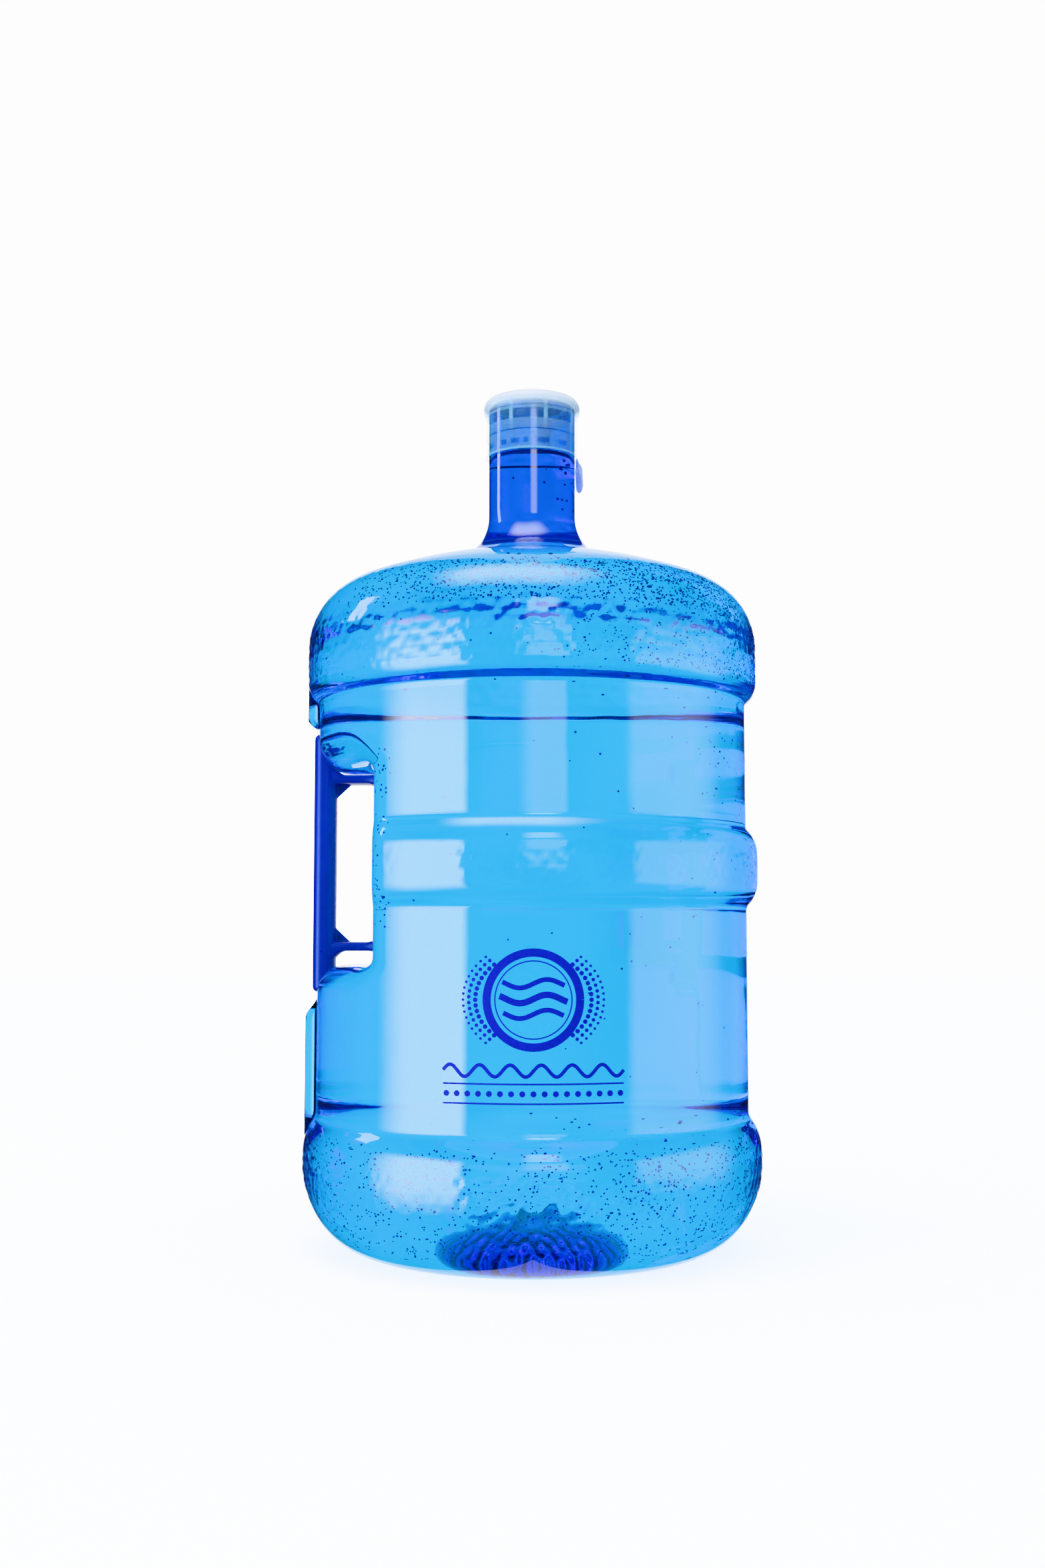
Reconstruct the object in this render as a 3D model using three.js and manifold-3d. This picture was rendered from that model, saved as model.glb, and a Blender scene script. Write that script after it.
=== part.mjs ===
// A five-gallon water jug with a clip-in handle and a push-on non-spill cap.
// Millimetres, +Z up, origin at the centre of the foot ring. The handle is on the -X side
// and the cap's pull tab on the +X side.

import * as THREE from "three";
import { mergeVertices } from "three/addons/utils/BufferGeometryUtils.js";
import Module from "manifold-3d";

const wasm = await Module();
wasm.setup();

// ---- driving dimensions ----

const BULGE_R = 135; // the upper bulge and the middle band
const FOOT_R = 136; // the lower bulge, a little proud so that the jug stands firmly
const PANEL_R = 128.2; // the two straight panels between the bulges
const NECK_R = 26.4;
const WALL = 1.2; // blown wall of the body
const NECK_WALL = 3.5; // the neck stays as thick as the preform
const BASE_WALL = 4.5; // middle of the base, also unstretched

// The foot: a flat ring, a rounded corner outside it and a domed push-up inside it.
const FOOT = { ringR: 91.5, ringWidth: 8, cornerZ: 53, pushUpR: 56, pushUpZ: 8, centreZ: 28 };

const LOWER_GROOVE_Z = 76.3; // each groove is where a bulge runs into a panel
const BAND_BOTTOM_Z = 199.6;
const BAND_TOP_Z = 247.6;
const UPPER_GROOVE_Z = 320;
const SHOULDER = { z: 356, r: 41.5 };
const CROWN_R = 303; // the dome over the shoulder, centred on the axis
const NECK_FLARE_R = 30; // hollow sweep from the dome into the neck
const MOUTH_Z = 506.5;

const POCKET = { floor: 91, bottom: 166.5, top: 282, corner: 6, flare: 21, arch: 10.5 };
const SLOT = { floor: 116.4, halfWidth: 13.1, bottom: 149.9, top: 305.6, corner: 1 };
const RIB = { r: 134, halfWidth: 15, edge: 4, lowerEnd: 143.5, upperEnd: 309 };

const GRIP = { outer: 131.3, inner: 117.8, halfWidth: 12, bottom: 150.5, top: 305 };
const ARM = { z: 47.3, end: 93.6, thickness: 5.4, halfWidth: 11, bend: 6 }; // z is from mid-grip
const GUSSET = { reach: 9.5, drop: 7, thickness: 3 };

const SKIRT = { r: 28.1, inner: 27.2, bottom: 475.6, score: 487.9 };
const CAP_TOP_Z = 513;
const RIM = { r: 29.7, bottom: 502.5, round: 8 };
const WINDOW = { bottom: 494.5, top: 500.5, depth: 0.35, ribs: 8, ribWidth: 2.2, firstRib: 18 };
const WELL = { inner: 10.5, outer: 11.7, bottom: 484 };
const PLATE = { bottom: 509, top: 511, edge: 18.6 }; // the cap's top plate, inside its raised rim
const TAB = { x: 27.65, thickness: 1.3, halfWidth: 5.5, length: 20.6, lean: 3 };

const GAP = 0.3; // left between pieces that touch
const BODY_SEGMENTS = 40;
const CAP_SEGMENTS = 40;

// ---- helpers ----

// Points of a circular or elliptical arc, from angle a0 to a1 in degrees, as [radius, height].
function arc(cx, cy, rx, ry, a0, a1, steps) {
  const [from, to] = [a0, a1].map(THREE.MathUtils.degToRad);
  return new THREE.EllipseCurve(cx, cy, rx, ry, from, to, a1 < a0).getPoints(steps);
}

const point = (x, y) => new THREE.Vector2(x, y);

function toSolid(geometry) {
  const bare = geometry.index ? geometry.toNonIndexed() : geometry.clone();
  bare.deleteAttribute("normal");
  bare.deleteAttribute("uv");
  const merged = mergeVertices(bare, 1e-4);
  const mesh = new wasm.Mesh({
    numProp: 3,
    vertProperties: merged.attributes.position.array,
    triVerts: new Uint32Array(merged.index.array),
  });
  return new wasm.Manifold(mesh);
}

function toGeometry(solid) {
  const { numProp, numVert, vertProperties, triVerts } = solid.getMesh();
  const position = new Float32Array(numVert * 3);
  for (let i = 0; i < numVert; i++) {
    position.set(vertProperties.subarray(i * numProp, i * numProp + 3), i * 3);
  }
  return new THREE.BufferGeometry()
    .setAttribute("position", new THREE.BufferAttribute(position, 3))
    .setIndex(new THREE.BufferAttribute(triVerts, 1));
}

// A solid of revolution about Z. The outline runs up its outside.
function turned(outline, segments) {
  const lathe = new THREE.LatheGeometry(outline, segments);
  return toSolid(lathe.rotateX(Math.PI / 2));
}

// A shape drawn in X and Z, extruded evenly to both sides of Y = 0.
function sideways(shape, halfWidth, bevel = 0, curveSegments = 6) {
  const made = new THREE.ExtrudeGeometry(shape, {
    depth: 2 * (halfWidth - bevel),
    steps: 1,
    curveSegments,
    bevelEnabled: bevel > 0,
    bevelThickness: bevel,
    bevelSize: bevel,
    bevelOffset: -bevel,
    bevelSegments: 3,
  });
  return toSolid(made.rotateX(Math.PI / 2).translate(0, halfWidth - bevel, 0));
}

function box(x0, x1, y0, y1, z0, z1) {
  const made = new THREE.BoxGeometry(x1 - x0, y1 - y0, z1 - z0);
  return toSolid(made.translate((x0 + x1) / 2, (y0 + y1) / 2, (z0 + z1) / 2));
}

// ---- jug body ----

// The crown arc touches the shoulder arc from inside and the neck's flare from outside.
function dome(inset) {
  const shoulderR = BULGE_R - SHOULDER.r;
  const crownZ = SHOULDER.z - Math.sqrt((CROWN_R - SHOULDER.r) ** 2 - shoulderR ** 2);
  const flareR = NECK_R + NECK_FLARE_R;
  const flareZ = crownZ + Math.sqrt((CROWN_R + NECK_FLARE_R) ** 2 - flareR ** 2);
  const shoulderAngle = THREE.MathUtils.radToDeg(Math.atan2(SHOULDER.z - crownZ, shoulderR));
  const flareAngle = THREE.MathUtils.radToDeg(Math.atan2(flareZ - crownZ, flareR));
  const bore = inset ? NECK_WALL - WALL : 0; // the neck thickens inwards
  const flare = NECK_FLARE_R + inset;
  return [
    ...arc(shoulderR, SHOULDER.z, SHOULDER.r - inset, SHOULDER.r - inset, 0, shoulderAngle, 5),
    ...arc(0, crownZ, CROWN_R - inset, CROWN_R - inset, shoulderAngle, flareAngle, 2).slice(1),
    ...arc(flareR, flareZ, flare + bore, flare, 180 + flareAngle, 180, 4).slice(1),
  ];
}

// A rounded end of a bulge, meeting a panel at a crease. up is 1 where the bulge is above.
function bulgeEnd(r, grooveZ, roundR, up, inset) {
  const angle = THREE.MathUtils.radToDeg(Math.acos(1 - (r - PANEL_R) / roundR));
  const z = grooveZ + up * roundR * Math.sin(THREE.MathUtils.degToRad(angle));
  const round = roundR - inset;
  const [from, to] = up > 0 ? [-angle, 0] : [0, angle];
  return arc(r - roundR, z, round, round, from, to, 3);
}

// The wall's outline from the foot up to the neck. inset 0 is its outside, WALL its inside.
function wall(inset) {
  return [
    ...bulgeEnd(FOOT_R, LOWER_GROOVE_Z, 21, -1, inset),
    ...bulgeEnd(BULGE_R, BAND_BOTTOM_Z, 14, 1, inset),
    ...bulgeEnd(BULGE_R, BAND_TOP_Z, 14, -1, inset),
    ...bulgeEnd(BULGE_R, UPPER_GROOVE_Z, 17, 1, inset),
    ...dome(inset),
  ];
}

function corner(inset) {
  const width = FOOT_R - FOOT.ringR;
  return arc(FOOT.ringR, FOOT.cornerZ, width - inset, FOOT.cornerZ - inset, -90, 0, 6);
}

// The dome in the middle of the base, from the axis out to where it runs into the foot ring.
function pushUp(inset) {
  const { pushUpR, pushUpZ, centreZ } = FOOT;
  return arc(0, pushUpZ + inset, pushUpR, centreZ - pushUpZ, 90, 8, 5);
}

function outside() {
  return [
    ...pushUp(0),
    point(FOOT.ringR - FOOT.ringWidth - 6, 1.2),
    point(FOOT.ringR - FOOT.ringWidth, 0),
    ...corner(0),
    ...wall(0),
    point(NECK_R, 477),
    point(NECK_R + 0.4, 478.5), // bead under the cap's skirt
    point(NECK_R + 0.4, 483),
    point(NECK_R - 0.2, 485),
    point(NECK_R - 0.2, MOUTH_Z - 1),
    point(NECK_R - 1.2, MOUTH_Z),
    point(0, MOUTH_Z),
  ];
}

function inside() {
  return [
    ...pushUp(BASE_WALL),
    point(FOOT.ringR - FOOT.ringWidth - 6, 1.2 + WALL + 0.4),
    point(FOOT.ringR - FOOT.ringWidth, WALL + 0.2),
    ...corner(WALL),
    ...wall(WALL),
    point(NECK_R - NECK_WALL, MOUTH_Z + 5),
    point(0, MOUTH_Z + 5),
  ];
}

// The handle's pocket right across the -X side. grow widens it by the wall's thickness.
function pocket(grow) {
  const { floor, bottom, top, corner: round, flare, arch } = POCKET;
  const shape = new THREE.Shape();
  const inner = round + grow;
  const outer = flare - grow;
  const x = floor - grow;
  const lipX = floor + round + 6;
  const far = BULGE_R + 15;
  shape.moveTo(-x, bottom + round);
  shape.lineTo(-x, top - round);
  shape.absarc(-x - inner, top - round, inner, 0, Math.PI / 2, false);
  shape.lineTo(-lipX, top + grow);
  shape.absarc(-lipX, top + flare, outer, -Math.PI / 2, Math.PI, true);
  shape.lineTo(-far, top + flare);
  shape.lineTo(-far, bottom - flare);
  shape.lineTo(-lipX - outer, bottom - flare);
  shape.absarc(-lipX, bottom - flare, outer, Math.PI, Math.PI / 2, true);
  shape.lineTo(-x - inner, bottom - grow);
  shape.absarc(-x - inner, bottom + round, inner, -Math.PI / 2, 0, false);
  const cut = sideways(shape, FOOT_R + 10);

  // Seen from the handle's side the pocket's ceiling is arched.
  const reach = FOOT_R + 20;
  const crown = [];
  for (let i = -6; i <= 6; i++) {
    const y = (i / 6) * reach;
    crown.push(point(y, top + flare + grow - arch * (y / 80) ** 2));
  }
  const outline = new THREE.Shape([
    point(reach, bottom - 40),
    ...crown.reverse(),
    point(-reach, bottom - 40),
  ]);
  const depth = 2 * far;
  const prism = new THREE.ExtrudeGeometry(outline, { depth, bevelEnabled: false });
  prism.rotateX(Math.PI / 2).rotateZ(Math.PI / 2).translate(-far - depth / 2, 0, 0);
  return cut.intersect(toSolid(prism));
}

// The seat that takes the ends of the grip, above and below the pocket.
function slot(grow) {
  const { floor, halfWidth, bottom, top, corner: round } = SLOT;
  const r = round + grow;
  const [x, z0, z1, far] = [floor - grow, bottom - grow, top + grow, BULGE_R + 15];
  const shape = new THREE.Shape();
  shape.moveTo(-far, z0);
  shape.lineTo(-x - r, z0);
  shape.absarc(-x - r, z0 + r, r, -Math.PI / 2, 0, false);
  shape.lineTo(-x, z1 - r);
  shape.absarc(-x - r, z1 - r, r, 0, Math.PI / 2, false);
  shape.lineTo(-far, z1);
  return sideways(shape, halfWidth + grow);
}

// An upright rib, flush with the bulges, that carries the pocket's edge at each end.
function rib(inset, z0, z1, roundAt) {
  const r = RIB.r - inset;
  const back = PANEL_R - 8;
  const shape = new THREE.Shape();
  const round = 6;
  if (roundAt === "top") {
    shape.moveTo(-r, z0);
    shape.lineTo(-back, z0);
    shape.lineTo(-back, z1 - inset);
    shape.lineTo(-r + round, z1 - inset);
    shape.absarc(-r + round, z1 - inset - round, round, Math.PI / 2, Math.PI, false);
  } else {
    shape.moveTo(-back, z0 + inset);
    shape.lineTo(-back, z1);
    shape.lineTo(-r, z1);
    shape.absarc(-r + round, z0 + inset + round, round, Math.PI, 1.5 * Math.PI, false);
  }
  return sideways(shape, RIB.halfWidth - inset, RIB.edge);
}

const withRibs = (solid, inset) =>
  solid
    .add(rib(inset, LOWER_GROOVE_Z - 12, RIB.lowerEnd, "top"))
    .add(rib(inset, RIB.upperEnd - 6, UPPER_GROOVE_Z + 10, "bottom"));

function jugBody() {
  const outer = withRibs(turned(outside(), BODY_SEGMENTS), 0)
    .subtract(pocket(0))
    .subtract(slot(0));
  const cavity = withRibs(turned(inside(), BODY_SEGMENTS), WALL)
    .subtract(pocket(WALL))
    .subtract(slot(WALL));
  return outer.subtract(cavity);
}

// ---- handle ----

function handleArm(up) {
  const middle = (GRIP.bottom + GRIP.top) / 2;
  const near = middle + up * ARM.z; // the arm's face towards the fingers
  const far = near + up * ARM.thickness;
  const shape = new THREE.Shape([
    point(-GRIP.inner - 2, near),
    point(-ARM.end - 7, near),
    point(-ARM.end, near - up * 1.8), // the end thickens into a foot against the pocket's floor
    point(-ARM.end, far),
    point(-GRIP.inner + ARM.bend, far),
    point(-GRIP.inner + 1, far + up * 2),
    point(-GRIP.inner - 2, far + up * 5),
  ]);
  return sideways(shape, ARM.halfWidth);
}

function gusset(up) {
  const middle = (GRIP.bottom + GRIP.top) / 2;
  const near = middle + up * ARM.z;
  const shape = new THREE.Shape([
    point(-GRIP.inner - 2, near - up * GUSSET.drop),
    point(-GRIP.inner, near - up * GUSSET.drop),
    point(-GRIP.inner + GUSSET.reach, near + up * 0.2),
    point(-GRIP.inner + GUSSET.reach, near + up * 2),
    point(-GRIP.inner - 2, near + up * 8),
  ]);
  return sideways(shape, GUSSET.thickness / 2);
}

function grip() {
  const { outer, inner, halfWidth, bottom, top } = GRIP;
  const section = new THREE.Shape();
  const [soft, tight] = [5, 2]; // corner radii on the palm's side and the fingers' side
  section.moveTo(-outer + soft, -halfWidth);
  section.lineTo(-inner - tight, -halfWidth);
  section.absarc(-inner - tight, -halfWidth + tight, tight, -Math.PI / 2, 0, false);
  section.lineTo(-inner, halfWidth - tight);
  section.absarc(-inner - tight, halfWidth - tight, tight, 0, Math.PI / 2, false);
  section.lineTo(-outer + soft, halfWidth);
  section.absarc(-outer + soft, halfWidth - soft, soft, Math.PI / 2, Math.PI, false);
  section.lineTo(-outer, -halfWidth + soft);
  section.absarc(-outer + soft, -halfWidth + soft, soft, Math.PI, 1.5 * Math.PI, false);
  const bevel = 1.5;
  const bar = new THREE.ExtrudeGeometry(section, {
    depth: top - bottom - 2 * bevel,
    curveSegments: 5,
    bevelThickness: bevel,
    bevelSize: bevel,
    bevelOffset: -bevel,
    bevelSegments: 2,
  });
  return toSolid(bar.translate(0, 0, bottom + bevel));
}

function handle() {
  return [1, -1].reduce((made, up) => made.add(handleArm(up)).add(gusset(up)), grip());
}

// ---- cap ----

function capShell() {
  const { r, inner, score } = SKIRT;
  const groove = r - WINDOW.depth;
  const seat = RIM.bottom + 2.5; // height of the rim's widest line
  const outline = [
    point(inner, score + GAP / 2),
    point(r, score + GAP / 2),
    point(r, WINDOW.bottom),
    point(groove, WINDOW.bottom),
    point(groove, WINDOW.top),
    point(r, WINDOW.top),
    point(r, RIM.bottom),
    point(RIM.r - 0.6, RIM.bottom),
    point(RIM.r, RIM.bottom + 0.8),
    ...arc(RIM.r - RIM.round, seat, RIM.round, CAP_TOP_Z - seat, 0, 90, 6),
    point(PLATE.edge + 1, CAP_TOP_Z),
    point(PLATE.edge, PLATE.top),
    point(WELL.inner, PLATE.top),
    point(WELL.inner, WELL.bottom),
    point(WELL.outer, WELL.bottom),
    point(WELL.outer, PLATE.bottom),
    point(inner, PLATE.bottom),
    point(inner, score + GAP / 2),
  ];
  let cap = turned(outline, CAP_SEGMENTS);
  const half = WINDOW.ribWidth / 2;
  const bar = box(groove - 0.2, r, -half, half, WINDOW.bottom, WINDOW.top);
  for (let i = 0; i < WINDOW.ribs; i++) {
    cap = cap.add(bar.rotate([0, 0, WINDOW.firstRib + (i * 360) / WINDOW.ribs]));
  }
  return cap;
}

function tearBand() {
  const { r, inner, bottom, score } = SKIRT;
  return turned(
    [
      point(inner, bottom),
      point(r + 0.25, bottom),
      point(r + 0.25, bottom + 1),
      point(r - 0.1, bottom + 1.8),
      point(r - 0.1, score - GAP / 2),
      point(inner, score - GAP / 2),
      point(inner, bottom),
    ],
    CAP_SEGMENTS,
  );
}

// The tab hangs from a rounded root that its hinge line runs through.
function pullTab() {
  const { thickness, halfWidth, length } = TAB;
  const t = thickness / 2;
  const side = new THREE.Shape();
  side.moveTo(t, 0);
  side.absarc(0, 0, t, 0, Math.PI, false);
  side.lineTo(-t, -length);
  side.lineTo(t * 0.4, -length);
  side.lineTo(t, -length + 0.6);
  for (let ridge = 3; ridge >= 1; ridge--) {
    const z = -length * 0.45 - ridge * 2.6;
    side.lineTo(t, z - 0.5);
    side.lineTo(t + 0.5, z);
    side.lineTo(t, z + 0.5);
  }
  const face = new THREE.Shape();
  face.moveTo(-halfWidth, 2);
  face.lineTo(-halfWidth, -length + halfWidth);
  face.absarc(0, -length + halfWidth, halfWidth, Math.PI, 2 * Math.PI, false);
  face.lineTo(halfWidth, 2);
  const blank = new THREE.ExtrudeGeometry(face, { depth: 6, curveSegments: 8, bevelEnabled: false });
  blank.rotateX(Math.PI / 2).rotateZ(Math.PI / 2).translate(-3, 0, 0);
  return sideways(side, halfWidth, 0, 4).intersect(toSolid(blank));
}

function gasket() {
  const [from, to] = [NECK_R - NECK_WALL - 0.3, SKIRT.inner - GAP];
  const [z0, z1] = [MOUTH_Z + GAP, PLATE.bottom - GAP];
  return turned(
    [point(from, z0), point(to, z0), point(to, z1), point(from, z1), point(from, z0)],
    CAP_SEGMENTS,
  );
}

// A cup-shaped stopper in the foot of the cap's well.
function probePlug() {
  const r = WELL.inner - GAP;
  const [floor, top] = [WELL.bottom + 0.5, WELL.bottom + 10];
  return turned(
    [
      point(0, floor),
      point(r - 0.8, floor),
      point(r, floor + 0.8),
      point(r, top),
      point(r - 1.2, top),
      point(r - 1.2, floor + 1.6),
      point(0, floor + 1.6),
    ],
    CAP_SEGMENTS,
  );
}

function dustLabel() {
  const disc = new THREE.CylinderGeometry(PLATE.edge - 0.6, PLATE.edge - 0.6, 0.35, CAP_SEGMENTS);
  return toSolid(disc.rotateX(Math.PI / 2).translate(0, 0, PLATE.top + GAP + 0.175));
}

// ---- assembly ----

const tinted = new THREE.MeshStandardMaterial({ color: 0x3fb4f2, roughness: 0.05, metalness: 0 });
const handleBlue = new THREE.MeshStandardMaterial({ color: 0x0030c8, roughness: 0.35, metalness: 0 });
const naturalPlastic = new THREE.MeshStandardMaterial({ color: 0xdfe8f2, roughness: 0.4, metalness: 0 });
const whiteFoam = new THREE.MeshStandardMaterial({ color: 0xf4f4f2, roughness: 0.9, metalness: 0 });
const paper = new THREE.MeshStandardMaterial({ color: 0xf0f4f8, roughness: 0.6, metalness: 0 });

function piece(name, solid, material) {
  const mesh = new THREE.Mesh(toGeometry(solid), material);
  mesh.name = name;
  return mesh;
}

const jug = new THREE.Group();
jug.add(piece("jug_body", jugBody(), tinted));
jug.add(piece("handle", handle(), handleBlue));

const cap = new THREE.Group();
cap.add(piece("cap_shell", capShell(), naturalPlastic));
cap.add(piece("tear_band", tearBand(), naturalPlastic));
cap.add(piece("sealing_gasket", gasket(), whiteFoam));
cap.add(piece("probe_plug", probePlug(), whiteFoam));
cap.add(piece("dust_label", dustLabel(), paper));
const tab = piece("pull_tab", pullTab(), naturalPlastic);
tab.position.set(TAB.x, 0, SKIRT.bottom - TAB.thickness / 2 - 0.25);
tab.rotation.y = THREE.MathUtils.degToRad(-TAB.lean);
cap.add(tab);
jug.add(cap);

export default jug;
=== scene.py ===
# A five-gallon water jug, full of water. Metres in the scene; shapes are worked out in
# millimetres and scaled as they become meshes.

import math

import bmesh
import bpy
import numpy as np
from mathutils import Matrix, Vector


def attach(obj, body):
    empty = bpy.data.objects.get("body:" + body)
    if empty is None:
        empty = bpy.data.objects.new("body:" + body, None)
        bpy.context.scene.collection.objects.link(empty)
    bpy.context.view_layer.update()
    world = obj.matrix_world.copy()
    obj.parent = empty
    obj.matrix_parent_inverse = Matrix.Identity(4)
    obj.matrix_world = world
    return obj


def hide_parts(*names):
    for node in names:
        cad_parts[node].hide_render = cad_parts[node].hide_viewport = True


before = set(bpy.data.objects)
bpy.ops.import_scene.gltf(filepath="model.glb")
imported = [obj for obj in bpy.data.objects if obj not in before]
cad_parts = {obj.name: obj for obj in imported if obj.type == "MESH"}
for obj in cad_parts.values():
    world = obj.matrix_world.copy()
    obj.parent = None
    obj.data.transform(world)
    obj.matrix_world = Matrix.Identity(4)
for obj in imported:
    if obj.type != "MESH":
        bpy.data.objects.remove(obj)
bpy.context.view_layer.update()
scene = bpy.context.scene

MM = 0.001

# ---- driving dimensions, millimetres ----

BULGE_R = 134.8
FOOT_R = 135.7
PANEL_R = 128.2
NECK_R = 26.4
MOUTH_Z = 506.5
WATER_Z = 474.6

WALL = 1.2
NECK_WALL = 3.2
BASE_WALL = 4.5

FOOT_GROOVE = (59.0, 82.0)  # where each bulge starts and ends its run into a panel
BAND_BOTTOM = (198.2, 215.0)
BAND_TOP = (232.5, 249.5)
TOP_GROOVE = (320.0, 333.8)
SHOULDER = {"r": 41.5, "z": 356.05}
CROWN_R = 302.6
FLARE_R = 30.0
FOOT = {"ring": 91.5, "ring_width": 8.0, "corner_z": 53.0}
PUSH_UP = {"r": 56.0, "z": 8.0, "centre_z": 28.0}

POCKET = {"floor": 89.5, "bottom": 166.5, "top": 281.0, "blend": 14.0}
POCKET_RADII = ((16.0, 7.0), (20.0, 6.0))  # outer and inner rounding, at its bottom and its top
POCKET_SPAN = ((136.0, 194.0), (262.0, 316.0))  # heights that each end of the pocket bends
SLOT = {"floor": 116.6, "half": 12.7, "bottom": 150.0, "top": 305.5}
RIB = {"r": 134.2, "half": 12.6, "lower_end": 141.0, "upper_end": 308.0}

PET_IOR = 1.57
WATER_IOR = 1.33
DYE = {"Color": (0.0236, 0.7535, 0.9443, 1), "Density": 440}
BACKDROP = 1.58  # brightness of the white studio, seen through the jug

GRIP = {"outer": 131.3, "inner": 118.1, "half": 12.0, "bottom": 150.5, "top": 305.0}
ARMS = ((177.5, -1), (277.6, 1))  # height of each arm, and which way is away from the fingers
ARM = {"thick": 5.4, "half": 11.0, "end": 93.7}
GUSSET = {"reach": 9.2, "drop": 8.3, "half": 1.6}

SKIRT = {"r": 28.1, "inner": 27.2, "bottom": 475.6, "score": 487.9}
RIM = {"r": 29.7, "bottom": 502.5, "widest": 505.0, "round": 8.0, "square": 2.6}
CAP_TOP = 513.0
WINDOW = {"bottom": 494.5, "top": 500.5, "depth": 0.45, "ribs": 8, "rib": 2.4, "first": 18.0}
WELL = {"inner": 10.5, "outer": 11.7, "bottom": 484.0}
PLATE = {"bottom": 509.0, "top": 511.0, "edge": 18.6}
GASKET = {"inner": 22.7, "outer": 26.8}
TAB = {"x": 27.65, "z": 474.7, "half": 5.4, "length": 20.4, "lean": 3.0}
TAB_TWIST = {"angle": 0.34, "clear": 0.9, "over": 6.0}  # radians, and how far it moves off the neck
TAB_ROD = 0.62  # radius of the tab's edge and ribs
LUGS = (  # azimuth and half width of each, in degrees
    (-112, 5.5), (-98, 3.2), (-78, 11), (-48, 7), (-20, 6), (12, 7), (44, 5),
    (76, 8), (108, 6), (140, 7), (172, 5), (204, 8), (232, 4),
)
GAP = 0.3  # between pieces that touch

BUBBLES = (  # count, heights, azimuths, sizes, and how they crowd: under 1 is more even
    (1300, 360, 389, -54, 62, 0.42, 0.68, 0.3),
    (850, 330, 387, 5, 85, 0.4, 0.62, 0.8),
    (300, 330, 395, -180, 180, 0.42, 0.7, 1.0),
    (1300, 10, 70, -85, 90, 0.4, 0.68, 0.3),
    (350, 10, 70, -180, 180, 0.42, 0.7, 1.0),
    (120, 186, 285, -60, -38, 0.45, 0.8, 1.0),
    (80, 215, 330, 40, 75, 0.45, 0.75, 1.0),
    (50, 80, 330, -35, 60, 0.45, 0.75, 1.0),
    (40, 386, 406, -58, 40, 0.8, 1.3, 1.0),
    (12, 436, 470, -60, 85, 0.5, 1.0, 1.0),
    (6, 456, 470, 22, 66, 0.9, 1.5, 1.0),
)

SKY = 4.0  # what the camera sees of the surroundings
OVERHEAD = np.radians((30, 55))  # from straight up: where the white above ends
UNDERFOOT = np.radians((128, 150))  # and where the light below begins
CAMERA = {"lens": 39.44, "place": (-0.00575, -1.037, 0.186), "tilt": 4.93}

COLUMNS = 384  # round the jug
CELL = 6.4  # size of one pebble of the hammered bands
PEBBLE = 0.5  # its height
HAMMERED = (  # how strongly, and the heights where each band comes in and goes out
    (1.0, 327, 336, 354, 368), (0.3, 354, 368, 394, 402),
    (0.5, 212, 218, 229, 236), (0.8, 28, 40, 55, 62),
)


def smooth(low, high, value):
    t = np.clip((value - low) / (high - low), 0, 1)
    return t * t * (3 - 2 * t)


def full_turn(count):
    return 2 * math.pi * np.arange(count) / count


def arc(cx, cz, rx, rz, start, end, step):
    """Points on an arc, from start to end in degrees, about step apart."""
    length = abs(math.radians(end - start)) * (rx + rz) / 2
    angle = np.radians(np.linspace(start, end, max(3, round(length / step) + 1)))
    return np.column_stack([cx + rx * np.cos(angle), cz + rz * np.sin(angle)])


def line(start, end, step):
    start, end = np.array(start, float), np.array(end, float)
    count = max(2, round(np.linalg.norm(end - start) / step) + 1)
    return start + (end - start) * np.linspace(0, 1, count)[:, None]


def s_bend(start, end, round_share, step):
    """Two arcs from one upright line to another, the larger radius the convex one."""
    (r0, z0), (r1, z1) = start, end
    turn = 2 * math.atan2(abs(r1 - r0), z1 - z0)
    both = (z1 - z0) / math.sin(turn)
    convex, hollow = both * round_share, both * (1 - round_share)
    degrees = math.degrees(turn)
    if r1 < r0:
        first = arc(r0 - convex, z0, convex, convex, 0, degrees, step)
        second = arc(r1 + hollow, z1, hollow, hollow, 180 + degrees, 180, step)
    else:
        first = arc(r0 + hollow, z0, hollow, hollow, 180, 180 - degrees, step)
        second = arc(r1 - convex, z1, convex, convex, -degrees, 0, step)
    return np.vstack([first, second[1:]])


def dome_pieces():
    """The shoulder, the crown and the hollow sweep into the neck, each tangent to the next."""
    shoulder_r = BULGE_R - SHOULDER["r"]
    crown_z = SHOULDER["z"] - math.sqrt((CROWN_R - SHOULDER["r"]) ** 2 - shoulder_r**2)
    flare_r = NECK_R + FLARE_R
    flare_z = crown_z + math.sqrt((CROWN_R + FLARE_R) ** 2 - flare_r**2)
    shoulder_end = math.degrees(math.atan2(SHOULDER["z"] - crown_z, shoulder_r))
    flare_start = math.degrees(math.atan2(flare_z - crown_z, flare_r))
    return [
        arc(shoulder_r, SHOULDER["z"], SHOULDER["r"], SHOULDER["r"], 0, shoulder_end, 2.0),
        arc(0, crown_z, CROWN_R, CROWN_R, shoulder_end, flare_start, 3.6),
        arc(flare_r, flare_z, FLARE_R, FLARE_R, 180 + flare_start, 180, 2.2),
    ], flare_z


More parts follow.
